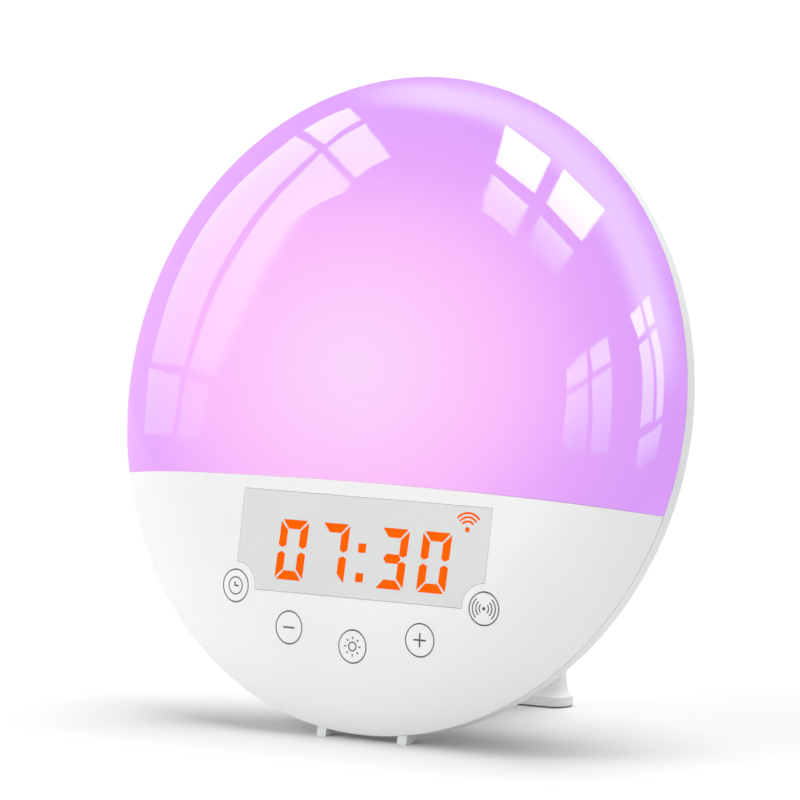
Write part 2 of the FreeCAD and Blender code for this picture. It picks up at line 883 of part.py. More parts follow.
def speaker_basket():
    """The pressed steel frame: a flange with two ears, four ribs' worth of cone wall and a back ring."""
    low = inner_back + gasket_thickness
    top = speaker_top + basket_depth
    wall = 0.9
    points = (
        (speaker_radius - 2.0, low),
        (speaker_radius, low),
        (speaker_radius, speaker_top),
        (speaker_radius - 2.0, speaker_top),
        (magnet_radius - 0.5, top),
        (4.0, top),
        (4.0, top - wall),
        (magnet_radius - 1.0, top - wall),
        (speaker_radius - 3.0, speaker_top - wall),
        (speaker_radius - 3.0, speaker_top - wall - 0.2),
        (speaker_radius - 2.0, speaker_top - wall - 0.2),
    )
    basket = lathe(points, 0, speaker_up)
    ear = block(-speaker_ear_reach, speaker_ear_reach, speaker_up - 3, speaker_up + 3, low, speaker_top)
    ear = fuse_all([ear] + [rod(3.0, x, y, low, speaker_top) for x, y in speaker_screw_places()])
    ear = ear.cut(rod(speaker_radius - 1.0, 0, speaker_up, -60, 0))
    basket = fuse_all([basket, ear])
    for x, y in speaker_screw_places():
        basket = basket.cut(rod(screw_radius + screw_hole_gap, x, y, -60, 0))
    return basket


def speaker_cone():
    low = inner_back + gasket_thickness
    points = (
        (speaker_radius - 2.3, low),
        (speaker_radius - 2.3, low + 0.25),
        (speaker_radius - 4.0, low + 0.25),
        (5.0, low + 5.0),
        (0.0, low + 4.0),
        (0.0, low + 3.6),
        (5.0, low + 4.5),
        (speaker_radius - 4.2, low),
    )
    return lathe(points, 0, speaker_up)


def speaker_magnet():
    low = speaker_top + basket_depth
    return rod(magnet_radius, 0, speaker_up, low, low + magnet_height)


def speaker_screws():
    screws = []
    for x, y in speaker_screw_places():
        screw = pan_screw(x, y, 0, 2.6)
        screw.rotate(Vec(x, y, 0), Vec(1, 0, 0), 180)
        screw.translate(Vec(0, 0, speaker_top))
        screws.append(screw)
    return Part.makeCompound(screws)


def main_board():
    board = block(
        -main_board_half_width,
        main_board_half_width,
        main_board_low,
        main_board_high,
        board_back_z,
        board_face_z,
    )
    for x, y in main_post_places():
        board = board.cut(rod(screw_radius + screw_hole_gap, x, y, -30, 0))
    return board


def main_board_screws():
    screws = []
    for x, y in main_post_places():
        screw = pan_screw(x, y, 0, 7.0)
        screw.rotate(Vec(x, y, 0), Vec(1, 0, 0), 180)
        screw.translate(Vec(0, 0, board_face_z))
        screws.append(screw)
    return Part.makeCompound(screws)


def wireless_module():
    """A small radio board with its shield can, on the main board's rear face."""
    board = block(14, 32, 24, 42, board_back_z - 0.8, board_back_z)
    can = block(15, 31, 25, 37, board_back_z - 2.8, board_back_z - 0.8)
    return fuse_all([board, can])


def main_board_chips():
    """Packages on the main board's rear face: processor, amplifier, two capacitors and three sockets."""
    z = board_back_z
    parts = [
        block(left, right, low, high, z - height, z)
        for left, right, low, high, height in main_board_packages
    ]
    parts += [rod(capacitor_radius, x, y, z - capacitor_height, z) for x, y in capacitor_places]
    return Part.makeCompound(parts)


def dc_jack():
    half = jack_side / 2
    y = -jack_below
    body = block(jack_x - half, jack_x + half, y - half, y + half, inner_back, inner_back + jack_length)
    return body.cut(rod(jack_bore, jack_x, y, inner_back - 1, inner_back + jack_bore_depth))


def dc_jack_pin():
    return rod(jack_pin, jack_x, -jack_below, inner_back + jack_pin_root, inner_back + jack_bore_depth)


def front_foot(x):
    """A small wedge foot under the rim, in world-level form before the floor trims it."""
    half = foot_width / 2
    top = -math.sqrt(body_radius**2 - x**2) + foot_lap
    front = -seam_gap
    body = block(x - half, x + half, top - foot_drop, top + foot_drop / 2, front - foot_depth, front)
    tab = foot_slot(x, 0).cut(block(x - far, x + far, -2 * far, top - 4, -far, far))
    seat = rear_form(0)
    foot = body.cut(seat).fuse(tab.common(rear_form(-0.5).fuse(seat)))
    return foot.removeSplitter()


def body_placement(shift=Vec(0, 0, 0)):
    """Takes a piece from the body frame to the world: tilted back, with the floor at z = 0."""
    turn = FreeCAD.Rotation(Vec(1, 0, 0), 90 - tilt_deg)
    return FreeCAD.Placement(Vec(0, 0, centre_height) + shift, turn)


def placed(shape):
    moved = shape.copy()
    moved.Placement = body_placement().multiply(shape.Placement)
    return moved


def floor_trim(shape):
    """Cuts a world-frame piece off at the floor, with a flat toe and a heel that rises."""
    trimmed = shape.cut(Part.makeBox(2 * far, 2 * far, far, Vec(-far, -far, -far)))
    toe = -body_radius * math.sin(tilt) + foot_toe
    rise = Part.makeBox(2 * far, far, far, Vec(-far, 0, -far))
    rise.rotate(Vec(0, 0, 0), Vec(1, 0, 0), foot_rise_deg)
    rise.translate(Vec(0, toe, 0))
    return trimmed.cut(rise)


def rounded_section(centre, up, half_width, half_height, corner):
    """A rounded rectangle wire, with X along its width and up along its height."""
    radius = min(corner, half_width * 0.9, half_height * 0.9)
    across = Vec(1, 0, 0)

    def at(a, b):
        return centre + across * a + up * b

    edges = []
    corners = ((1, 1), (-1, 1), (-1, -1), (1, -1))
    for index, (sx, sy) in enumerate(corners):
        cx, cy = sx * (half_width - radius), sy * (half_height - radius)
        start = math.atan2(sy, sx) - math.pi / 4
        points = [
            at(cx + radius * math.cos(start + t), cy + radius * math.sin(start + t))
            for t in (0, math.pi / 4, math.pi / 2)
        ]
        edges.append(Part.Arc(*points).toShape())
        nx, ny = corners[(index + 1) % 4]
        ncx, ncy = nx * (half_width - radius), ny * (half_height - radius)
        next_start = math.atan2(ny, nx) - math.pi / 4
        next_point = at(ncx + radius * math.cos(next_start), ncy + radius * math.sin(next_start))
        edges.append(Part.LineSegment(points[2], next_point).toShape())
    return Part.Wire(edges)


def leg_path():
    """Centre, direction, half width and half height of the leg's sections, from the back to the sole."""
    pad_mid = -(leg_pad_top_below + leg_pad_bottom_below) / 2
    pad_half = (leg_pad_bottom_below - leg_pad_top_below) / 2
    place = body_placement()
    start = place.multVec(Vec(0, pad_mid, -rear_depth))
    out = place.Rotation.multVec(Vec(0, 0, -1))
    ankle_mid = sole_front + ankle_setback + ankle_length / 2
    floor_top = pad_proud + sole_thickness
    end = Vec(0, ankle_mid, floor_top)
    first_angle = math.atan2(out.z, out.y)
    last_angle = math.radians(-90)
    corner = Vec(0, ankle_mid + 1.0, start.z + math.tan(first_angle) * (ankle_mid - start.y))
    sections = []
    for share in (0.0, 0.18, 0.38, 0.6, 0.82, 1.0):
        a, b, c = (1 - share) ** 2, 2 * share * (1 - share), share**2
        centre = start * a + corner * b + end * c
        angle = first_angle + (last_angle - first_angle) * share
        half_height = pad_half + (ankle_length / 2 - pad_half) * min(1.0, share * 1.25)
        half_width = leg_pad_half_width + (ankle_half_width - leg_pad_half_width) * share
        sections.append((centre, angle, half_width, half_height))
    return sections


def leg_loft():
    wires = []
    for centre, angle, half_width, half_height in leg_path():
        up = Vec(0, -math.sin(angle), math.cos(angle))
        wires.append(rounded_section(centre, up, half_width, half_height, leg_corner))
    return Part.makeLoft(wires, True, False)


def sole_outline(inset, low, high):
    """The sole plate: straight sides, round corners and a front edge that bows forward."""
    half = sole_half_width - inset
    front = sole_front + inset
    back = sole_front + sole_length - inset
    radius = max(sole_corner - inset, 1.0)
    lean = radius * (1 - math.cos(math.radians(45)))
    edges = []

    def line(x0, y0, x1, y1):
        edges.append(Part.LineSegment(Vec(x0, y0, low), Vec(x1, y1, low)).toShape())

    def curve(x0, y0, x1, y1, x2, y2):
        edges.append(Part.Arc(Vec(x0, y0, low), Vec(x1, y1, low), Vec(x2, y2, low)).toShape())

    curve(-half + radius, front, 0, front - sole_bow, half - radius, front)
    curve(half - radius, front, half - lean, front + lean, half, front + radius)
    line(half, front + radius, half, back - radius)
    curve(half, back - radius, half - lean, back - lean, half - radius, back)
    line(half - radius, back, -half + radius, back)
    curve(-half + radius, back, -half + lean, back - lean, -half, back - radius)
    line(-half, back - radius, -half, front + radius)
    curve(-half, front + radius, -half + lean, front + lean, -half + radius, front)
    return Part.Face(Part.Wire(edges)).extrude(Vec(0, 0, high - low))


def ankle_flare():
    """The concave sweep from the sole up into the leg, as lofted sections."""
    floor_top = pad_proud + sole_thickness
    middle_ankle = sole_front + ankle_setback + ankle_length / 2
    middle_sole = sole_front + sole_length / 2
    half_sole = sole_length / 2 - sole_step
    wires = []
    for share in (0.0, 0.12, 0.3, 0.55, 1.0):
        pull = (1 - math.sqrt(share)) ** 1.5
        half_width = ankle_half_width + (sole_half_width - sole_step - ankle_half_width) * pull
        half_height = ankle_length / 2 + (half_sole - ankle_length / 2) * pull
        middle = middle_ankle + (middle_sole - middle_ankle) * pull
        centre = Vec(0, middle, floor_top + ankle_height * share)
        wires.append(rounded_section(centre, Vec(0, 1, 0), half_width, half_height, leg_corner))
    return Part.makeLoft(wires, True, False)


def rear_leg():
    """The moulded leg: a pad on the flat back, an elbow, a flared ankle and the sole plate."""
    sole = sole_outline(0, pad_proud, pad_proud + sole_thickness)
    leg = leg_loft().fuse([ankle_flare(), sole]).removeSplitter()
    leg = leg.cut(sole_outline(pad_inset - pad_fit, -1, pad_thickness))
    bottom = inner_back + leg_screw_boss - leg_screw_length - 1.0
    for x, y in leg_screw_places():
        leg = leg.cut(placed(rod(leg_screw_radius, x, y, bottom, -rear_depth + 5)))
    return leg


def sole_pad():
    return sole_outline(pad_inset, 0, pad_thickness)


def leg_screws():
    screws = []
    for x, y in leg_screw_places():
        screw = pan_screw(x, y, 0, leg_screw_length, shank=leg_screw_radius - 0.05)
        screw.rotate(Vec(x, y, 0), Vec(1, 0, 0), 180)
        screw.translate(Vec(0, 0, inner_back + leg_screw_boss))
        screws.append(screw)
    return Part.makeCompound(screws)


def build_pieces():
    """Every piece by node name, placed in the world."""
    pieces = {
        "dome_diffuser": placed(dome_diffuser()),
        "front_panel": placed(front_panel()),
        "display_window": placed(display_window()),
        "digit_inlays": placed(digit_inlays()),
        "signal_icon": placed(signal_icon()),
        "display_block": placed(display_block()),
        "key_board": placed(key_board()),
        "key_switches": placed(key_switches()),
        "key_board_screws": placed(key_board_screws()),
        "inner_frame": placed(inner_frame()),
        "shell_screws": placed(shell_screws()),
        "light_tray": placed(light_tray()),
        "lamp_board": placed(lamp_board()),
        "lamp_leds": placed(lamp_leds()),
        "rear_cover": placed(rear_cover()),
        "cover_screws": placed(cover_screws()),
        "speaker_grille": placed(speaker_grille()),
        "speaker_gasket": placed(speaker_gasket()),
        "speaker_basket": placed(speaker_basket()),
        "speaker_cone": placed(speaker_cone()),
        "speaker_magnet": placed(speaker_magnet()),
        "speaker_screws": placed(speaker_screws()),
        "main_board": placed(main_board()),
        "main_board_screws": placed(main_board_screws()),
        "main_board_chips": placed(main_board_chips()),
        "wireless_module": placed(wireless_module()),
        "dc_jack": placed(dc_jack()),
        "dc_jack_pin": placed(dc_jack_pin()),
        "rear_leg": rear_leg(),
        "leg_screws": placed(leg_screws()),
        "sole_pad": sole_pad(),
    }
    for name, x, y in key_places():
        pieces[name + "_key"] = placed(key_cap(x, y))
        pieces[name + "_plunger"] = placed(switch_plunger(x, y))
    for side, x in foot_places():
        pieces["front_foot_" + side] = floor_trim(placed(front_foot(x)))
    return pieces


def main():
    pieces = build_pieces()
    front_reach = edge_centre_r * math.sin(tilt) + edge_centre_z * math.cos(tilt) + edge_arc
    centre = Vec(0, (front_reach - sole_front - sole_length) / 2, 0)
    os.makedirs("parts", exist_ok=True)
    for name, shape in pieces.items():
        shape.translate(centre)
        shape.exportStep("parts/" + name + ".step")
        state = "valid" if shape.isValid() else "NOT VALID"
        print(name, len(shape.Solids), "solids", round(shape.Volume), "mm3", state)
    plug = body_placement(centre).multVec(Vec(jack_x, -jack_below, -rear_depth + rear_wall / 2))
    print("plug recess at", [round(c, 4) for c in plug])
    print("sole centre y", round(sole_front + sole_length / 2 + centre.y, 4))
    print("seam centre", round(centre.y, 4), round(centre_height, 4))


main()
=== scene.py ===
import math

import bmesh
import bpy
from mathutils import Matrix, Vector


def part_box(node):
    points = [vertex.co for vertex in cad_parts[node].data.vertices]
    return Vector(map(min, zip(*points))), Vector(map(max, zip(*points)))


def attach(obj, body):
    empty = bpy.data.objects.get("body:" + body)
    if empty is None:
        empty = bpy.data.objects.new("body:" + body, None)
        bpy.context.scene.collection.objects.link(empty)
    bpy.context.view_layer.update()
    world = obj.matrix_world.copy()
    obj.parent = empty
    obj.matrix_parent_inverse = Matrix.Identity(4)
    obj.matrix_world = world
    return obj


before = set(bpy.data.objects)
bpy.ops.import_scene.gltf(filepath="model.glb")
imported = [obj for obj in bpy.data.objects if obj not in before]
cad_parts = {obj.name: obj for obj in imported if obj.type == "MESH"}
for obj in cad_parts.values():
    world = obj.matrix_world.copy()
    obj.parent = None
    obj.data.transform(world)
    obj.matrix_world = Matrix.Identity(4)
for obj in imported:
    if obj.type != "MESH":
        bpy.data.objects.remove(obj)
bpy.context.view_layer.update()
print("frame loaded:", len(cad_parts), "nodes")

mm = 0.001

# the clock's body, whose own frame is X right, Y up the face, Z out of the face, with Z = 0 at the seam
clockBody = {
    "radius": 92.5 * mm,
    "tilt": math.radians(12.0),
    "seamGap": 0.3 * mm,
    "crownHeight": 11.1 * mm,
    "edgeArc": 60.0 * mm,
    "edgeSlope": math.radians(34.0),
}


def seamCentre():
    # worked out from how far up and how far forward the rear cover's rim reaches
    low, high = (Vector(corner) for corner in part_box("rear_cover"))
    radius, tilt, gap = clockBody["radius"], clockBody["tilt"], clockBody["seamGap"]
    y = low.y + radius * math.sin(tilt) - gap * math.cos(tilt)
    z = high.z - radius * math.cos(tilt) + gap * math.sin(tilt)
    return Vector((0.0, y, z))


bodyCentre = seamCentre()
bodyPlace = Matrix.Translation(bodyCentre) @ Matrix.Rotation(math.pi / 2 - clockBody["tilt"], 4, "X")
bodyTurn = bodyPlace.to_3x3()
print("seam centre:", [round(v, 5) for v in bodyCentre])


def frontProfile():
    # the front surface is two arcs turned about the body's Z, and they meet at the distance join from it
    radius, arc = clockBody["radius"], clockBody["edgeArc"]
    edgeR = radius - arc * math.sin(clockBody["edgeSlope"])
    edgeZ = -arc * math.cos(clockBody["edgeSlope"])
    rise = clockBody["crownHeight"] - edgeZ
    crownArc = (edgeR**2 + rise**2 - arc**2) / (2 * (rise - arc))
    return {
        "edgeR": edgeR,
        "edgeZ": edgeZ,
        "crownArc": crownArc,
        "crownZ": clockBody["crownHeight"] - crownArc,
        "join": edgeR * crownArc / (crownArc - arc),
    }


front = frontProfile()


def frontHeight(x, y):
    # how far the front surface stands out of the seam plane
    r = math.hypot(x, y)
    if r < front["join"]:
        return front["crownZ"] + math.sqrt(front["crownArc"] ** 2 - r * r)
    return front["edgeZ"] + math.sqrt(max(clockBody["edgeArc"] ** 2 - (r - front["edgeR"]) ** 2, 0.0))


def frontNormal(point):
    # outward normal, in the body's frame, at a point on the front surface
    r = math.hypot(point.x, point.y)
    if r < front["join"]:
        return Vector((point.x, point.y, point.z - front["crownZ"])).normalized()
    out = Vector((point.x / r, point.y / r, 0.0))
    return (out * (r - front["edgeR"]) + Vector((0, 0, point.z - front["edgeZ"]))).normalized()


# camera: the photograph's angle, fitted to the seam, the window and the keys
photoCamera = {
    "azimuth": math.radians(33.3),
    "elevation": math.radians(6.33),
    "distance": 1674.66 * mm,
    "offRight": -0.28 * mm,
    "offUp": -1.32 * mm,
    "focalPixels": 6006.0,
    "imagePixels": 800.0,
    "sensor": 36.0,
    "clipEnd": 100.0,  # metres, past the far edge of the floor
}


def cameraAxes():
    azimuth, elevation = photoCamera["azimuth"], photoCamera["elevation"]
    level = math.cos(elevation)
    back = Vector((math.sin(azimuth) * level, -math.cos(azimuth) * level, math.sin(elevation)))
    right = Vector((math.cos(azimuth), math.sin(azimuth), 0.0))
    up = back.cross(right)
    away = back * photoCamera["distance"]
    place = bodyCentre + away - right * photoCamera["offRight"] - up * photoCamera["offUp"]
    return right, up, back, place


def addCamera():
    right, up, back, place = cameraAxes()
    data = bpy.data.cameras.new("photoCamera")
    data.sensor_width = photoCamera["sensor"]
    data.lens = photoCamera["focalPixels"] / photoCamera["imagePixels"] * photoCamera["sensor"]
    data.clip_end = photoCamera["clipEnd"]
    camera = bpy.data.objects.new("photoCamera", data)
    turn = Matrix((right, up, back)).transposed().to_4x4()
    camera.matrix_world = Matrix.Translation(place) @ turn
    bpy.context.scene.collection.objects.link(camera)
    bpy.context.scene.camera = camera


addCamera()
print("camera set")


def srgb(hexColour):
    # a hex colour as the linear colour that a socket takes
    def linear(level):
        return level / 12.92 if level <= 0.04045 else ((level + 0.055) / 1.055) ** 2.4

    value = hexColour.lstrip("#")
    return tuple(linear(int(value[i : i + 2], 16) / 255) for i in (0, 2, 4)) + (1.0,)


def addNode(tree, kind, settings=None, **inputs):
    # settings are the node's own; an input is a value or an output to link, and in0 is the first input
    node = tree.nodes.new(kind)
    for name, value in (settings or {}).items():
        setattr(node, name, value)
    for name, value in inputs.items():
        numbered = name.startswith("in") and name[2:].isdigit()
        socket = node.inputs[int(name[2:]) if numbered else name.replace("_", " ")]
        if isinstance(value, bpy.types.NodeSocket):
            tree.links.new(value, socket)
        else:
            socket.default_value = value
    return node


def newMaterial(name, **shaderInputs):
    material = bpy.data.materials.new(name)
    material.use_nodes = True
    tree = material.node_tree
    tree.nodes.clear()
    shader = addNode(tree, "ShaderNodeBsdfPrincipled", **shaderInputs)
    addNode(tree, "ShaderNodeOutputMaterial", Surface=shader.outputs[0])
    return material, tree, shader


# what the patterns share
pattern = {
    "low": 0.3,  # nearly all of a noise lies between these two
    "high": 0.7,
    "grainRoughness": 0.55,  # how much each finer layer of a grain counts
    "toneDetail": 1.0,
}


def bodySpace(tree, scale=(1.0, 1.0, 1.0)):
    # pattern space: the body's own frame, in millimetres, so a pattern follows the tilted parts
    coords = addNode(tree, "ShaderNodeTexCoord")
    shift = addNode(
        tree,
        "ShaderNodeMapping",
        {"vector_type": "POINT"},
        Vector=coords.outputs["Object"],
        Location=-bodyCentre,
    )
    turn = addNode(
        tree,
        "ShaderNodeMapping",
        {"vector_type": "POINT"},
        Vector=shift.outputs[0],
        Rotation=(-(math.pi / 2 - clockBody["tilt"]), 0.0, 0.0),
        Scale=tuple(s / mm for s in scale),
    )
    return turn.outputs[0]


def slowNoise(tree, space, sizeMm):
    # a soft cloud pattern, whose lumps are about as wide as the given size
    return addNode(
        tree, "ShaderNodeTexNoise", Vector=space, Scale=1.0 / sizeMm, Detail=pattern["toneDetail"]
    )


def addBump(tree, shader, height, depthMm, strength=1.0):
    bump = addNode(tree, "ShaderNodeBump", Height=height, Strength=strength, Distance=depthMm * mm)
    tree.links.new(bump.outputs[0], shader.inputs["Normal"])


def grain(tree, shader, space, sizeMm, depthMm, rough=None, detail=2.0):
    # a fine moulded grain: bump of a real depth, and roughness that follows it
    noise = addNode(
        tree,
        "ShaderNodeTexNoise",
        Vector=space,
        Scale=1.0 / sizeMm,
        Detail=detail,
        Roughness=pattern["grainRoughness"],
    )
    addBump(tree, shader, noise.outputs[0], depthMm)
    if rough:
        level = addNode(
            tree,
            "ShaderNodeMapRange",
            Value=noise.outputs[0],
            From_Min=pattern["low"],
            From_Max=pattern["high"],
            To_Min=rough[0],
            To_Max=rough[1],
        )
        tree.links.new(level.outputs[0], shader.inputs["Roughness"])


def tone(tree, shader, space, tones, sizeMm):
    # a slow drift between two close colours, as moulded and printed parts have
    ramp = addNode(tree, "ShaderNodeValToRGB", Fac=slowNoise(tree, space, sizeMm).outputs[0])
    for stop, position, colour in zip(ramp.color_ramp.elements, (pattern["low"], pattern["high"]), tones):
        stop.position = position
        stop.color = srgb(colour)
    tree.links.new(ramp.outputs[0], shader.inputs["Base Color"])


# milky polycarbonate, injection moulded and polished: it glows evenly and mirrors windows sharply
# the glow's centre and reach are in millimetres on the body, and its stops run from the centre out
diffuserLook = {
    "base": "#6A5378",
    "roughness": 0.035,
    "ior": 1.585,
    "glowCentre": (-9.0, 9.0, 0.0),
    "glowStretch": (1.0, 1.3, 0.0),
    "glowReach": 100.0,
    "glowStops": (
        (0.00, "#E4C3E1"),
        (0.15, "#E6BCE1"),
        (0.30, "#E7B4E1"),
        (0.42, "#E6ACE0"),
        (0.55, "#E2A3E1"),
        (0.65, "#DA99E2"),
        (0.76, "#CE8EE0"),
        (0.88, "#C889E0"),
        (1.00, "#C384E0"),
    ),
    "glowStrength": 1.0,
    "waveMm": 45.0,
    "waveDepthMm": 0.02,
    "waveStrength": 0.15,
}


def makeDiffuser():
    look = diffuserLook
    material, tree, shader = newMaterial(
        "milkyPolycarbonate", Base_Color=srgb(look["base"]), Roughness=look["roughness"], IOR=look["ior"]
    )
    space = bodySpace(tree)
    away = addNode(
        tree, "ShaderNodeVectorMath", {"operation": "SUBTRACT"}, in0=space, in1=look["glowCentre"]
    )
    stretched = addNode(
        tree,
        "ShaderNodeVectorMath",
        {"operation": "MULTIPLY"},
        in0=away.outputs[0],
        in1=look["glowStretch"],
    )
    far = addNode(tree, "ShaderNodeVectorMath", {"operation": "LENGTH"}, in0=stretched.outputs[0])
    share = addNode(
        tree,
        "ShaderNodeMath",
        {"operation": "DIVIDE", "use_clamp": True},
        in0=far.outputs["Value"],
        in1=look["glowReach"],
    )
    ramp = addNode(tree, "ShaderNodeValToRGB", Fac=share.outputs[0])
    stops = ramp.color_ramp.elements
    while len(stops) < len(look["glowStops"]):
        stops.new(0.5)  # its place is set below
    for stop, (position, colour) in zip(stops, look["glowStops"]):
        stop.position = position
        stop.color = srgb(colour)
    tree.links.new(ramp.outputs[0], shader.inputs["Emission Color"])
    shader.inputs["Emission Strength"].default_value = look["glowStrength"]
    wave = slowNoise(tree, space, look["waveMm"])
    addBump(tree, shader, wave.outputs[0], look["waveDepthMm"], look["waveStrength"])
    return material


glossWhite = {"ior": 1.53, "toneMm": 60.0, "waveMm": 18.0, "waveDepthMm": 0.004}


def makeGlossWhite(name, tones, roughness):
    # polished white ABS: a clean mirror film over white, with the faint waviness that moulding leaves
    material, tree, shader = newMaterial(name, Roughness=roughness, IOR=glossWhite["ior"])
    space = bodySpace(tree)
    tone(tree, shader, space, tones, glossWhite["toneMm"])
    grain(tree, shader, space, glossWhite["waveMm"], glossWhite["waveDepthMm"], detail=0.0)
    return material


satinWhite = {"ior": 1.53, "toneMm": 40.0, "depthMm": 0.012, "rough": (0.38, 0.5)}


def makeSatinWhite(name, tones, grainMm):
    # spark-eroded white ABS: a fine even grain that softens every highlight
    material, tree, shader = newMaterial(name, IOR=satinWhite["ior"])
    space = bodySpace(tree)
    tone(tree, shader, space, tones, satinWhite["toneMm"])
    grain(tree, shader, space, grainMm, satinWhite["depthMm"], satinWhite["rough"])
    return material


windowLook = {
    "tones": ("#D9D9D9", "#DCDCDC"),
    "ior": 1.49,
    "toneMm": 30.0,
    "grainMm": 0.3,
    "depthMm": 0.002,
    "rough": (0.30, 0.38),
}
inkLook = {
    "tones": ("#4A4A4C", "#555557"),
    "ior": 1.5,
    "toneMm": 1.5,
    "grainMm": 0.2,
    "depthMm": 0.003,
    "rough": (0.45, 0.6),
}


def makeFromLook(name, look):
    # one fine grain over a drift between two close tones
    material, tree, shader = newMaterial(name, IOR=look["ior"])
    space = bodySpace(tree)
    tone(tree, shader, space, look["tones"], look["toneMm"])
    grain(tree, shader, space, look["grainMm"], look["depthMm"], look["rough"])
    return material


def makePlain(name, tones, grainMm, depthMm, rough, ior=1.5):
    # the small moulded, pressed and sintered parts, whose tone drifts over eight of their grains
    look = {"tones": tones, "ior": ior, "toneMm": grainMm * 8}
    return makeFromLook(name, {**look, "grainMm": grainMm, "depthMm": depthMm, "rough": rough})


# the lit bars: the lamp's colour drifts slowly between two ambers
digitLook = {
    "base": "#B03800",
    "ambers": ("#FF6200", "#FF7008"),
    "strength": 0.62,
    "driftMm": 2.5,
    "roughness": 0.4,
    "ior": 1.49,
}


def makeLitDigit():
    # translucent amber inlay with a lamp behind it: an even glow, with no mirror film to whiten it
    look = digitLook
    material, tree, shader = newMaterial(
        "litAmberInlay",
        Base_Color=srgb(look["base"]),
        Roughness=look["roughness"],
        IOR=look["ior"],
        Specular_IOR_Level=0.0,
    )
    drift = slowNoise(tree, bodySpace(tree), look["driftMm"])
    ramp = addNode(tree, "ShaderNodeValToRGB", Fac=drift.outputs[0])
    for stop, colour in zip(ramp.color_ramp.elements, look["ambers"]):
        stop.color = srgb(colour)
    tree.links.new(ramp.outputs[0], shader.inputs["Emission Color"])
    shader.inputs["Emission Strength"].default_value = look["strength"]
    return material


# a track fades out between these two shares of the spacing, and stands up by its depth
boardLook = {"ior": 1.55, "roughness": 0.32, "trackInner": 0.04, "trackOuter": 0.09, "trackDepthMm": 0.03}


def makeCircuitBoard(name, mask, track, spacingMm):
    # glass laminate under solder mask: tracks show as slightly lighter raised lines
    material, tree, shader = newMaterial(name, Roughness=boardLook["roughness"], IOR=boardLook["ior"])
    cells = addNode(
        tree,
        "ShaderNodeTexVoronoi",
        {"feature": "DISTANCE_TO_EDGE"},
        Vector=bodySpace(tree),
        Scale=1.0 / spacingMm,
    )
    line = addNode(
        tree,
        "ShaderNodeMapRange",
        Value=cells.outputs[0],
        From_Min=boardLook["trackInner"],
        From_Max=boardLook["trackOuter"],
        To_Min=1.0,
        To_Max=0.0,
    )
    ramp = addNode(tree, "ShaderNodeValToRGB", Fac=line.outputs[0])
    for stop, colour in zip(ramp.color_ramp.elements, (mask, track)):
        stop.color = srgb(colour)
    tree.links.new(ramp.outputs[0], shader.inputs["Base Color"])
    addBump(tree, shader, line.outputs[0], boardLook["trackDepthMm"])
    return material


metalLook = {"toneMm": 3.0, "markDepthMm": 0.004}


def makeMetal(name, tones, rough, markMm=0.15, stretch=12.0):
    # turned or pressed metal: fine marks stretched one way break up the reflection
    material, tree, shader = newMaterial(name, Metallic=1.0)
    space = bodySpace(tree, (1.0, 1.0 / stretch, 1.0))
    tone(tree, shader, space, tones, metalLook["toneMm"])
    grain(tree, shader, space, markMm, metalLook["markDepthMm"], rough)
    return material


diffuser = makeDiffuser()
panelAbs = makeGlossWhite("polishedWhiteAbs", ("#F1F1F1", "#F4F4F4"), 0.12)
keyAbs = makeGlossWhite("polishedKeyAbs", ("#F2F2F2", "#F5F5F5"), 0.14)
coverAbs = makeSatinWhite("sparkErodedWhiteAbs", ("#E9E9EA", "#EDEDEE"), 0.45)
frameAbs = makeSatinWhite("mouldedFrameAbs", ("#DEDEDD", "#E4E4E3"), 0.6)
# light grey screened acrylic: flat and even, with a very fine diffusing matt
windowGrey = makeFromLook("screenedAcrylic", windowLook)
amber = makeLitDigit()
# pad-printed dark grey ink: thin, matt, a little broken at the grain
ink = makeFromLook("padPrintInk", inkLook)
greenBoard = makeCircuitBoard("greenSolderMask", "#0E5A2E", "#1F7A42", 3.2)
whiteBoard = makeCircuitBoard("whiteSolderMask", "#ECECE8", "#DEDED8", 5.0)
# metals: name, two tones, roughness from and to, then the marks' width and how far they are stretched
# zinc plate over turned steel: pale and a little blue, with a broken shine
zincSteel = makeMetal("zincPlatedSteel", ("#B9BCC2", "#CDD0D4"), (0.25, 0.4))
# black oxide on steel: nearly black, with a dull oily shine
blackSteel = makeMetal("blackOxideSteel", ("#232325", "#2E2E31"), (0.35, 0.5))
# zinc plate over pressed sheet: greyer, with wider marks
pressedSteel = makeMetal("pressedZincSteel", ("#A7A9AC", "#B8BABD"), (0.3, 0.45), 0.3, 4.0)
# tinned sheet: pale, with soft wide marks
tinCan = makeMetal("tinnedShield", ("#C6C6C4", "#D2D2D0"), (0.28, 0.4), 0.4, 6.0)
# nickel on turned brass: warmer and brighter than the steel
nickelPin = makeMetal("nickelPlatedBrass", ("#CBC7BD", "#D8D5CC"), (0.15, 0.25), 0.1, 3.0)
# the rest: name, two tones, grain width and depth in millimetres, and roughness from and to
# matt moulded polycarbonate: throws the lamps' light back evenly
trayWhite = makePlain("mattReflectorPolycarbonate", ("#F2F2F0", "#F6F6F5"), 0.5, 0.01, (0.6, 0.7))
# glass-filled nylon: near black, and its grain dulls the highlights
blackPlastic = makePlain("glassFilledNylon", ("#151517", "#1D1D20"), 0.3, 0.01, (0.45, 0.6))
# plain moulded nylon: a little lighter and smoother
switchNylon = makePlain("mouldedSwitchNylon", ("#202023", "#2A2A2D"), 0.25, 0.008, (0.4, 0.55))
# fired ceramic: creamy, with a soft shine
ledCeramic = makePlain("ceramicLampPackage", ("#F0EBCF", "#F7F3DD"), 0.6, 0.01, (0.25, 0.4))
# cut foam: a coarse grain that drinks the light
foam = makePlain("closedCellFoam", ("#151515", "#242424"), 0.5, 0.12, (0.85, 0.95))
# pressed paper pulp: dark, matt and fibrous
pulp = makePlain("pressedPulpCone", ("#1B1B1D", "#29292C"), 0.4, 0.05, (0.8, 0.9))
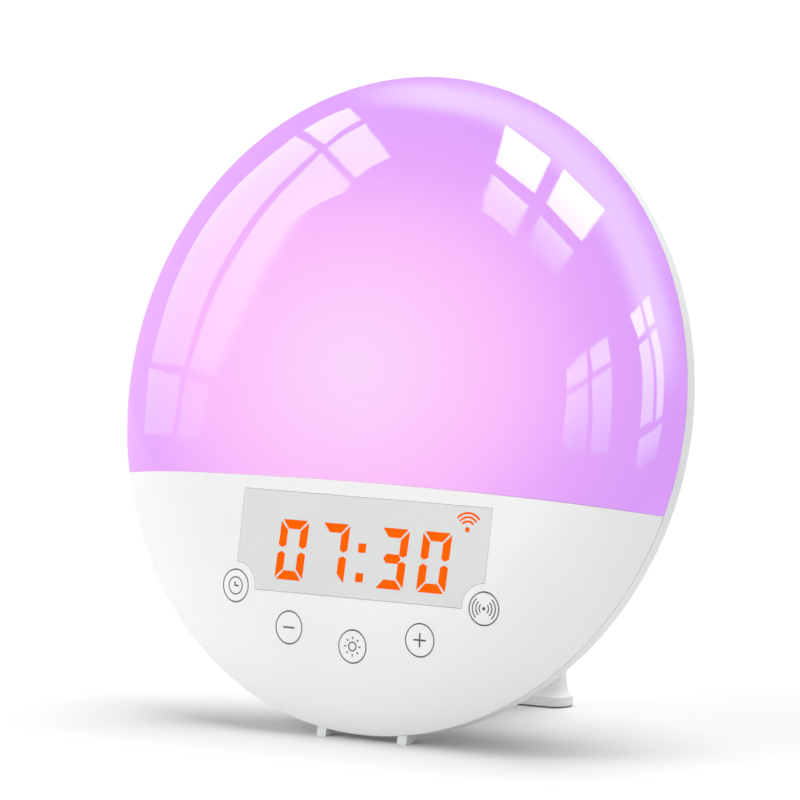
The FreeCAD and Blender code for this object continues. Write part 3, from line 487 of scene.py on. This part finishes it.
# sintered ferrite: dark grey and dry, like slate
ferrite = makePlain("sinteredFerrite", ("#28282A", "#343437"), 0.35, 0.03, (0.55, 0.7))
# moulded silicone rubber: grey, soft and without shine
rubber = makePlain("mouldedSiliconeRubber", ("#8B8B8D", "#959597"), 0.5, 0.03, (0.7, 0.85), ior=1.42)
print("materials made:", len(bpy.data.materials))

nodeFinish = {
    "dome_diffuser": diffuser,
    "front_panel": panelAbs,
    "display_window": windowGrey,
    "digit_inlays": amber,
    "signal_icon": amber,
    "display_block": blackPlastic,
    "key_board": greenBoard,
    "key_switches": switchNylon,
    "key_board_screws": zincSteel,
    "inner_frame": frameAbs,
    "shell_screws": zincSteel,
    "light_tray": trayWhite,
    "lamp_board": whiteBoard,
    "lamp_leds": ledCeramic,
    "rear_cover": coverAbs,
    "cover_screws": blackSteel,
    "speaker_grille": coverAbs,
    "speaker_gasket": foam,
    "speaker_basket": pressedSteel,
    "speaker_cone": pulp,
    "speaker_magnet": ferrite,
    "speaker_screws": zincSteel,
    "main_board": greenBoard,
    "main_board_screws": zincSteel,
    "main_board_chips": blackPlastic,
    "wireless_module": tinCan,
    "dc_jack": blackPlastic,
    "dc_jack_pin": nickelPin,
    "rear_leg": coverAbs,
    "leg_screws": zincSteel,
    "sole_pad": rubber,
    "front_foot_left": coverAbs,
    "front_foot_right": coverAbs,
}
keyNames = ("clock", "minus", "light", "plus", "sound")  # from left to right
for keyName in keyNames:
    nodeFinish[keyName + "_key"] = keyAbs
    nodeFinish[keyName + "_plunger"] = switchNylon


def dressNode(nodeName, material):
    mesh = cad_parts[nodeName].data
    mesh.materials.clear()
    mesh.materials.append(material)


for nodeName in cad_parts:
    dressNode(nodeName, nodeFinish[nodeName])
print("frame dressed")

# printed rings and signs on the keys, which stand on an arc about the face's centre
keyPrint = {
    "circle": 68.6 * mm,
    "pitch": math.radians(18.5),
    "ringOuter": 4.55 * mm,
    "ringWidth": 0.22 * mm,
    "line": 0.36 * mm,
    "thickness": 0.06 * mm,
    "mergeGap": 0.0001 * mm,
    "clockFace": 2.4 * mm,
    "hourHand": 1.1 * mm,
    "minuteHand": 1.5 * mm,
    "handShift": 0.25 * mm,
    "handLines": 1.3,  # a hand's width, in lines
    "barLength": 3.9 * mm,
    "barWidth": 0.5 * mm,
    "sunRing": 1.2 * mm,
    "rayInner": 2.0 * mm,
    "rayOuter": 2.75 * mm,
    "rays": 8,
    "waveDot": 0.5 * mm,
    "waves": (1.45 * mm, 2.45 * mm, 3.5 * mm),
    "waveLines": 0.9,  # a wave's width, in lines
    "waveHalfAngle": math.radians(48.0),
}
# how finely the ink is cut, so that it follows the curved face
printCuts = {"bar": 6, "ray": 1, "ring": 72, "clockFace": 48, "sunRing": 40, "wave": 16, "dot": 24}
fullTurn = 2 * math.pi


def keyCentre(index):
    angle = -math.pi / 2 + (index - 2) * keyPrint["pitch"]
    return keyPrint["circle"] * math.cos(angle), keyPrint["circle"] * math.sin(angle)


def addBar(bm, x, y, length, width, turn=0.0, cuts=printCuts["bar"]):
    # a flat bar of ink, cut along its length
    made = bmesh.ops.create_cube(bm, size=1.0)["verts"]
    size = Matrix.Diagonal((length, width, keyPrint["thickness"], 1.0))
    spin = Matrix.Rotation(turn, 4, "Z")
    bmesh.ops.transform(bm, verts=made, matrix=Matrix.Translation((x, y, 0)) @ spin @ size)
    direction = Vector((math.cos(turn), math.sin(turn), 0))
    nearlyAlong = 0.99
    edges = dict.fromkeys(edge for vert in made for edge in vert.link_edges)  # each edge once
    runs = [(edge, (edge.verts[1].co - edge.verts[0].co).normalized()) for edge in edges]
    longEdges = [edge for edge, run in runs if abs(run.dot(direction)) > nearlyAlong]
    bmesh.ops.subdivide_edges(bm, edges=longEdges, cuts=cuts, use_grid_fill=True)


def addArc(bm, x, y, radius, width, start, sweep, steps):
    # a small rectangle of ink spun about a point, closed on itself for a full turn
    half, thick = width / 2, keyPrint["thickness"] / 2
    corners = ((-half, -thick), (half, -thick), (half, thick), (-half, thick))
    direction = Vector((math.cos(start), math.sin(start), 0))
    verts = [
        bm.verts.new(Vector((x, y, 0)) + direction * (radius + out) + Vector((0, 0, rise)))
        for out, rise in corners
    ]
    full = sweep == fullTurn
    edges = [bm.edges.new((verts[i], verts[(i + 1) % 4])) for i in range(4)]
    geometry = verts + edges if full else verts + edges + [bm.faces.new(verts)]
    bmesh.ops.spin(
        bm,
        geom=geometry,
        cent=(x, y, 0),
        axis=(0, 0, 1),
        angle=sweep,
        steps=steps,
        use_merge=full,
    )


def addDot(bm, x, y, radius):
    made = bmesh.ops.create_cone(
        bm,
        cap_ends=True,
        cap_tris=False,
        segments=printCuts["dot"],
        radius1=radius,
        radius2=radius,
        depth=keyPrint["thickness"],
    )["verts"]
    bmesh.ops.translate(bm, verts=made, vec=(x, y, 0))


def addClockSign(bm, x, y):
    line, hour, minute = keyPrint["line"], keyPrint["hourHand"], keyPrint["minuteHand"]
    width, corner = line * keyPrint["handLines"], x - keyPrint["handShift"]
    addArc(bm, x, y, keyPrint["clockFace"], line, 0.0, fullTurn, printCuts["clockFace"])
    addBar(bm, corner, y + hour / 2, hour, width, math.pi / 2)
    addBar(bm, corner + minute / 2 - line / 2, y, minute, width)


def addMinusSign(bm, x, y):
    addBar(bm, x, y, keyPrint["barLength"], keyPrint["barWidth"])


def addPlusSign(bm, x, y):
    # a bar, and above and below it half of the other bar, so that no ink is doubled
    length, width = keyPrint["barLength"] / 2 - keyPrint["barWidth"] / 2, keyPrint["barWidth"]
    addMinusSign(bm, x, y)
    for side in (-1, 1):
        addBar(bm, x, y + side * (width / 2 + length / 2), length, width, math.pi / 2)


def addLightSign(bm, x, y):
    line, inner, outer = keyPrint["line"], keyPrint["rayInner"], keyPrint["rayOuter"]
    middle = (inner + outer) / 2
    addArc(bm, x, y, keyPrint["sunRing"], line, 0.0, fullTurn, printCuts["sunRing"])
    for ray in range(keyPrint["rays"]):
        angle = ray * fullTurn / keyPrint["rays"]
        rayX, rayY = x + middle * math.cos(angle), y + middle * math.sin(angle)
        addBar(bm, rayX, rayY, outer - inner, line, angle, printCuts["ray"])


def addSoundSign(bm, x, y):
    half, width = keyPrint["waveHalfAngle"], keyPrint["line"] * keyPrint["waveLines"]
    addDot(bm, x, y, keyPrint["waveDot"])
    for radius in keyPrint["waves"]:
        for middle in (0.0, math.pi):
            addArc(bm, x, y, radius, width, middle - half, 2 * half, printCuts["wave"])


addSign = {
    "clock": addClockSign,
    "minus": addMinusSign,
    "light": addLightSign,
    "plus": addPlusSign,
    "sound": addSoundSign,
}


def layOnFace(bm):
    # takes flat ink at Z = 0 onto the front surface, and then to its place in the world
    for vert in bm.verts:
        vert.co.z += frontHeight(vert.co.x, vert.co.y)
    bmesh.ops.transform(bm, verts=bm.verts, matrix=bodyPlace)


def pieceFrom(bm, name, material, bodyName):
    mesh = bpy.data.meshes.new(name)
    bm.to_mesh(mesh)
    bm.free()
    mesh.materials.append(material)
    piece = bpy.data.objects.new(name, mesh)
    bpy.context.scene.collection.objects.link(piece)
    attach(piece, bodyName)


def addKeyPrint(index, keyName):
    x, y = keyCentre(index)
    bm = bmesh.new()
    middle = keyPrint["ringOuter"] - keyPrint["ringWidth"] / 2
    addArc(bm, x, y, middle, keyPrint["ringWidth"], 0.0, fullTurn, printCuts["ring"])
    addSign[keyName](bm, x, y)
    bmesh.ops.remove_doubles(bm, verts=bm.verts, dist=keyPrint["mergeGap"])
    bmesh.ops.recalc_face_normals(bm, faces=bm.faces)
    layOnFace(bm)
    pieceFrom(bm, keyName + "_key_print", ink, keyName + "_key")


for index, keyName in enumerate(keyNames):
    addKeyPrint(index, keyName)
print("key prints laid")


# stage: floor, lights and the windows that the polished dome mirrors
stageLook = {
    "floorSize": 40.0,
    "floor": "#E5E5E6",
    "floorRough": 0.9,
    "skyStrength": 0.3,
    "mirroredSky": 0.8,
    "lights": {
        "overheadKey": {"from": (0.04, 0.22, 1.0), "strength": 2.55, "angle": math.radians(46.0)},
        "frontFill": {"from": (-1.1, -0.9, 0.55), "strength": 1.65, "angle": math.radians(60.0)},
        "sideFill": {"from": (1.0, 0.1, 0.35), "strength": 0.3, "angle": math.radians(60.0)},
    },
}


def addFloor():
    # plain pale studio floor: even and matt, so it only shows the soft shadow under the clock
    bm = bmesh.new()
    bmesh.ops.create_grid(bm, x_segments=1, y_segments=1, size=stageLook["floorSize"] / 2)
    mesh = bpy.data.meshes.new("studioFloor")
    bm.to_mesh(mesh)
    bm.free()
    paint = newMaterial(
        "mattFloorPaint",
        Base_Color=srgb(stageLook["floor"]),
        Roughness=stageLook["floorRough"],
        Specular_IOR_Level=0.0,
    )[0]
    mesh.materials.append(paint)
    floor = bpy.data.objects.new("studioFloor", mesh)
    bpy.context.scene.collection.objects.link(floor)


def addSky():
    # an even white room, which looks brighter in a mirror than the light that it gives
    world = bpy.data.worlds.new("studioSky")
    world.use_nodes = True
    tree = world.node_tree
    background = tree.nodes["Background"]
    background.inputs["Color"].default_value = srgb("#FFFFFF")
    path = addNode(tree, "ShaderNodeLightPath")
    level = addNode(
        tree,
        "ShaderNodeMapRange",
        Value=path.outputs["Is Glossy Ray"],
        To_Min=stageLook["skyStrength"],
        To_Max=stageLook["mirroredSky"],
    )
    tree.links.new(level.outputs[0], background.inputs["Strength"])
    bpy.context.scene.world = world


def addLight(name, light):
    data = bpy.data.lights.new(name, "SUN")
    data.energy = light["strength"]
    data.angle = light["angle"]
    lamp = bpy.data.objects.new(name, data)
    lamp.rotation_euler = Vector(light["from"]).to_track_quat("Z", "Y").to_euler()
    lamp.visible_glossy = False
    bpy.context.scene.collection.objects.link(lamp)


addFloor()
addSky()
bpy.context.scene.view_settings.view_transform = "Standard"  # shows each colour as it is given
for lightName, light in stageLook["lights"].items():
    addLight(lightName, light)

# what the polished front mirrors: each pane of window light is given by the pixels of its two long edges
# in the photograph, from the top down, and by how bright it is at its top and its foot; distances in metres
windowLight = {
    "distance": 2.2,
    "rowsPerSpan": 6,
    "columns": 5,
    "aimSteps": 30,  # how often a mirrored ray's landing point is corrected
    "tint": "#C6FFCC",
    "panes": {
        "tallOuterTop": {
            "left": ((348.8, 107.5), (325.5, 117.5), (302.5, 130.5)),
            "right": ((361.2, 119.5), (342.5, 130.0), (325.0, 144.5)),
            "topGlow": 6.8,
            "footGlow": 6.8,
        },
        "tallInnerTop": {
            "left": ((366.2, 123.2), (345.5, 134.5), (327.5, 148.0)),
            "right": ((390.8, 157.0), (373.0, 166.0), (356.2, 178.0)),
            "topGlow": 7.0,
            "footGlow": 6.5,
        },
        "tallOuterLong": {
            "left": ((295.0, 135.8), (242.5, 180.0), (202.5, 228.8), (171.2, 291.2), (151.2, 360.5)),
            "right": ((317.0, 149.5), (270.0, 195.0), (235.0, 242.5), (205.0, 300.0), (183.8, 366.2)),
            "topGlow": 6.0,
            "footGlow": 2.4,
        },
        "tallInnerLong": {
            "left": ((321.2, 153.0), (275.0, 200.0), (242.5, 245.0), (212.5, 300.0), (188.8, 367.5)),
            "right": ((350.0, 182.5), (305.0, 226.2), (271.2, 272.5), (243.8, 325.0), (222.0, 378.0)),
            "topGlow": 6.0,
            "footGlow": 2.6,
        },
        "tallOuterFoot": {
            "left": ((148.8, 367.5), (143.8, 433.8)),
            "right": ((181.2, 375.0), (172.0, 436.2)),
            "topGlow": 2.6,
            "footGlow": 1.9,
        },
        "tallInnerFoot": {
            "left": ((185.8, 377.0), (176.8, 438.8)),
            "right": ((218.8, 386.8), (210.0, 442.0)),
            "topGlow": 2.2,
            "footGlow": 1.8,
        },
        "squareOuterTop": {
            "left": ((506.0, 125.0), (496.0, 163.5)),
            "right": ((551.0, 158.5), (535.0, 193.5)),
            "topGlow": 15.0,
            "footGlow": 11.0,
        },
        "squareInnerTop": {
            "left": ((564.0, 169.0), (546.5, 203.5)),
            "right": ((605.0, 210.0), (581.0, 240.0)),
            "topGlow": 15.0,
            "footGlow": 10.0,
        },
        "squareOuterFoot": {
            "left": ((492.5, 174.0), (475.0, 220.0)),
            "right": ((528.5, 206.0), (514.0, 236.0)),
            "topGlow": 7.5,
            "footGlow": 3.0,
        },
        "squareInnerFoot": {
            "left": ((541.0, 216.0), (527.5, 243.5)),
            "right": ((574.0, 251.0), (554.0, 278.0)),
            "topGlow": 6.0,
            "footGlow": 1.2,
        },
        "narrowOuterTop": {
            "left": ((630.0, 315.6), (638.5, 337.5)),
            "right": ((640.2, 305.2), (645.6, 330.6)),
            "topGlow": 10.5,
            "footGlow": 10.0,
        },
        "narrowInnerTop": {
            "left": ((642.1, 302.9), (649.0, 327.2)),
            "right": ((649.4, 296.2), (654.8, 322.2)),
            "topGlow": 11.0,
            "footGlow": 11.0,
        },
        "narrowOuterLong": {
            "left": ((638.8, 343.8), (642.0, 367.5), (642.5, 395.0), (640.0, 428.8)),
            "right": ((647.8, 336.9), (652.2, 361.2), (654.0, 390.0), (652.5, 421.9)),
            "topGlow": 8.5,
            "footGlow": 4.6,
        },
        "narrowInnerLong": {
            "left": ((650.6, 333.1), (655.2, 358.8), (657.0, 387.5), (656.0, 418.5)),
            "right": ((656.5, 328.1), (661.9, 353.8), (664.0, 382.5), (662.5, 414.8)),
            "topGlow": 10.5,
            "footGlow": 6.0,
        },
        "narrowFoot": {
            "left": ((639.0, 439.4), (635.6, 470.6)),
            "right": ((662.1, 425.0), (656.2, 456.9)),
            "topGlow": 4.8,
            "footGlow": 1.8,
        },
        "fainterOuterTop": {
            "left": ((566.9, 366.5), (566.6, 390.6)),
            "right": ((586.6, 351.5), (588.1, 376.9)),
            "topGlow": 5.0,
            "footGlow": 5.2,
        },
        "fainterInnerTop": {
            "left": ((589.8, 348.8), (592.8, 372.8)),
            "right": ((607.5, 336.0), (611.0, 360.0)),
            "topGlow": 5.8,
            "footGlow": 5.8,
        },
        "fainterOuterLong": {
            "left": ((568.1, 396.9), (566.2, 427.5), (563.8, 460.0)),
            "right": ((588.1, 383.1), (588.1, 420.0), (585.6, 455.0)),
            "topGlow": 4.8,
            "footGlow": 1.0,
        },
        "fainterInnerLong": {
            "left": ((591.9, 380.0), (592.5, 418.8), (590.0, 456.2)),
            "right": ((611.5, 366.2), (611.9, 410.0), (608.1, 452.5)),
            "topGlow": 5.0,
            "footGlow": 1.9,
        },
    },
}

# the long soft highlight beside the rim, given in the same way; it fades at its sides and its ends
rimBand = {
    "distance": 2.8,
    "outer": (
        (335.0, 89.0),
        (425.0, 75.5),
        (520.0, 93.0),
        (600.0, 145.0),
        (655.0, 225.0),
        (682.5, 330.0),
        (685.0, 405.0),
    ),
    "inner": (
        (350.0, 110.0),
        (425.0, 116.0),
        (495.0, 135.0),
        (550.0, 177.5),
        (600.0, 250.0),
        (637.5, 340.0),
        (655.0, 410.0),
    ),
    "glow": 5.0,
    "endFade": 0.2,
    "sideFade": 0.42,
}


def mirrorPoint(px, py, distance):
    # where the camera's ray through a pixel goes after the front surface mirrors it
    right, up, back, eye = cameraAxes()
    focal, half = photoCamera["focalPixels"], photoCamera["imagePixels"] / 2
    ray = (-back + right * ((px - half) / focal) + up * ((half - py) / focal)).normalized()
    start = bodyPlace.inverted() @ eye
    along = bodyTurn.inverted() @ ray
    height = clockBody["crownHeight"]
    for _ in range(windowLight["aimSteps"]):
        point = start + along * ((height - start.z) / along.z)
        r = math.hypot(point.x, point.y)
        if r > clockBody["radius"]:
            scale = clockBody["radius"] / r
            point = Vector((point.x * scale, point.y * scale, 0.0))
        height = frontHeight(point.x, point.y)
    point.z = height
    normal = frontNormal(point)
    away = along - normal * (2 * along.dot(normal))
    return bodyPlace @ (point + away * distance)


def alongEdge(points, t):
    # a smooth curve through an edge's pixels, from its first at t = 0 to its last at t = 1
    count = len(points) - 1
    span = min(int(t * count), count - 1)
    u = t * count - span
    a, b, c, d = (Vector(points[min(max(span + k, 0), count)]) for k in (-1, 0, 1, 2))
    return (b * 2 + (c - a) * u + (a * 2 - b * 5 + c * 4 - d) * u**2 + (b * 3 - a - c * 3 + d) * u**3) / 2


def cardTree(name):
    # an empty material, and the card's own share across and down, as X and Y
    material = bpy.data.materials.new(name)
    material.use_nodes = True
    tree = material.node_tree
    tree.nodes.clear()
    coords = addNode(tree, "ShaderNodeTexCoord")
    split = addNode(tree, "ShaderNodeSeparateXYZ", Vector=coords.outputs["UV"])
    return material, tree, split


def paneGlow(name, topGlow, footGlow):
    # daylight through a pane, which changes evenly from its top to its foot
    material, tree, split = cardTree(name)
    level = addNode(tree, "ShaderNodeMapRange", Value=split.outputs["Y"], To_Min=topGlow, To_Max=footGlow)
    glow = addNode(
        tree, "ShaderNodeEmission", Color=srgb(windowLight["tint"]), Strength=level.outputs[0]
    )
    addNode(tree, "ShaderNodeOutputMaterial", Surface=glow.outputs[0])
    return material


def bandGlow(name):
    # a soft strip of light that fades out at its sides and its ends
    material, tree, split = cardTree(name)
    fades = []
    for axis, reach in (("X", rimBand["sideFade"]), ("Y", rimBand["endFade"])):
        fromStart = split.outputs[axis]
        fromEnd = addNode(tree, "ShaderNodeMath", {"operation": "SUBTRACT"}, in0=1.0, in1=fromStart)
        nearer = addNode(
            tree, "ShaderNodeMath", {"operation": "MINIMUM"}, in0=fromStart, in1=fromEnd.outputs[0]
        )
        fade = addNode(
            tree,
            "ShaderNodeMapRange",
            {"interpolation_type": "SMOOTHSTEP"},
            Value=nearer.outputs[0],
            From_Max=reach,
        )
        fades.append(fade.outputs[0])
    share = addNode(tree, "ShaderNodeMath", {"operation": "MULTIPLY"}, in0=fades[0], in1=fades[1])
    clear = addNode(tree, "ShaderNodeBsdfTransparent")
    glow = addNode(tree, "ShaderNodeEmission", Color=srgb(windowLight["tint"]), Strength=rimBand["glow"])
    mixed = addNode(
        tree, "ShaderNodeMixShader", in0=share.outputs[0], in1=clear.outputs[0], in2=glow.outputs[0]
    )
    addNode(tree, "ShaderNodeOutputMaterial", Surface=mixed.outputs[0])
    return material


def addCard(name, leftEdge, rightEdge, distance, material):
    # a card of light that only the mirroring front sees, where it shows between the two edges
    rows = windowLight["rowsPerSpan"] * (len(leftEdge) - 1)
    columns = windowLight["columns"]
    bm = bmesh.new()
    layer = bm.loops.layers.uv.new("pane")
    made = bmesh.ops.create_grid(bm, x_segments=columns, y_segments=rows, size=0.5)["verts"]
    shares = {vert: (vert.co.x + 0.5, 0.5 - vert.co.y) for vert in made}
    for face in bm.faces:
        for loop in face.loops:
            loop[layer].uv = shares[loop.vert]
    for vert, (across, down) in shares.items():
        pixel = alongEdge(leftEdge, down).lerp(alongEdge(rightEdge, down), across)
        vert.co = mirrorPoint(pixel.x, pixel.y, distance)
    mesh = bpy.data.meshes.new(name)
    bm.to_mesh(mesh)
    bm.free()
    mesh.materials.append(material)
    card = bpy.data.objects.new(name, mesh)
    bpy.context.scene.collection.objects.link(card)
    card.visible_camera = False
    card.visible_diffuse = False
    card.visible_shadow = False
    card.visible_transmission = False
    card.visible_volume_scatter = False


for paneName, pane in windowLight["panes"].items():
    glow = paneGlow(paneName + "Glow", pane["topGlow"], pane["footGlow"])
    addCard(paneName, pane["left"], pane["right"], windowLight["distance"], glow)
addCard("rimBand", rimBand["outer"], rimBand["inner"], rimBand["distance"], bandGlow("rimBandGlow"))
print("stage set")
